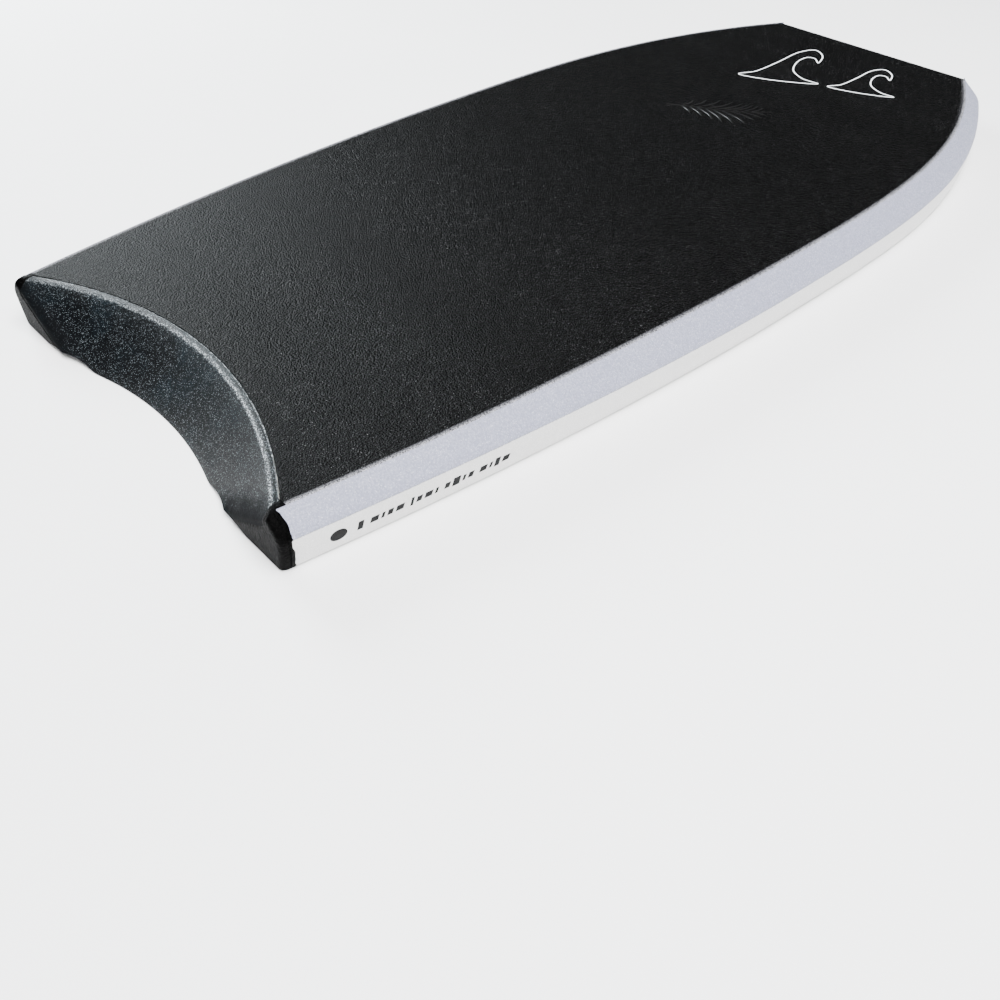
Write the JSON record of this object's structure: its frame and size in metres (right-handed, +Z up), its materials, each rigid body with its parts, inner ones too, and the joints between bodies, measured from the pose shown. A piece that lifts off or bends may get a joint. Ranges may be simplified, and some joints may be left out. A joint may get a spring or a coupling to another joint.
{
  "type": "bodyboard",
  "caption": "Foam bodyboard with a crescent tail, double white rails, a flat-cut swept-up nose and a glossy channelled slick; lies on its slick.",
  "frame": {"origin": "under the middle of the board's bounding box, on the flat of the slick", "axes": "+Y along the board toward the nose, +Z up out of the deck, +X to the rider's right"},
  "size_m": [0.54, 1.067, 0.058],
  "materials": {
    "deck_foam": "near-black pebbled polyethylene foam skin, faint sheen",
    "bond_foam": "off-white dense bonding foam",
    "core_foam": "pale expanded polypropylene bead foam",
    "mesh_film": "pale open mesh laminated in film",
    "slick_film": "glossy film printed with a fade from orange through red to near-black, mesh pattern showing through",
    "upper_rail_foam": "cool white textured foam",
    "lower_rail_foam": "warm white smooth foam with a soft sheen",
    "edge_foam": "beige foam edge",
    "tail_skin": "black glossy speckled skin",
    "tip_foam": "matte black foam",
    "nose_foam": "near-black foam",
    "stringer_rod": "dark composite tube",
    "cap_plastic": "black plastic end cap"
  },
  "bodies": {
    "root": {"deck_skin": "deck_foam", "bond_skin_top": "bond_foam", "core": "core_foam", "bond_skin_bottom": "bond_foam", "slick_mesh": "mesh_film", "slick_skin": "slick_film", "upper_rail_left": "upper_rail_foam", "upper_rail_right": "upper_rail_foam", "lower_rail_left": "lower_rail_foam", "lower_rail_right": "lower_rail_foam", "edge_strip_left": "edge_foam", "edge_strip_right": "edge_foam", "tail_wrap": "tail_skin", "tail_bead": "tail_skin", "tail_tip_left": "tip_foam", "tail_tip_right": "tip_foam", "nose_bumper": "nose_foam", "stringer_tube": "stringer_rod", "stringer_cap": "cap_plastic", "stringer_plug": "core_foam"}
  },
  "joints": []
}
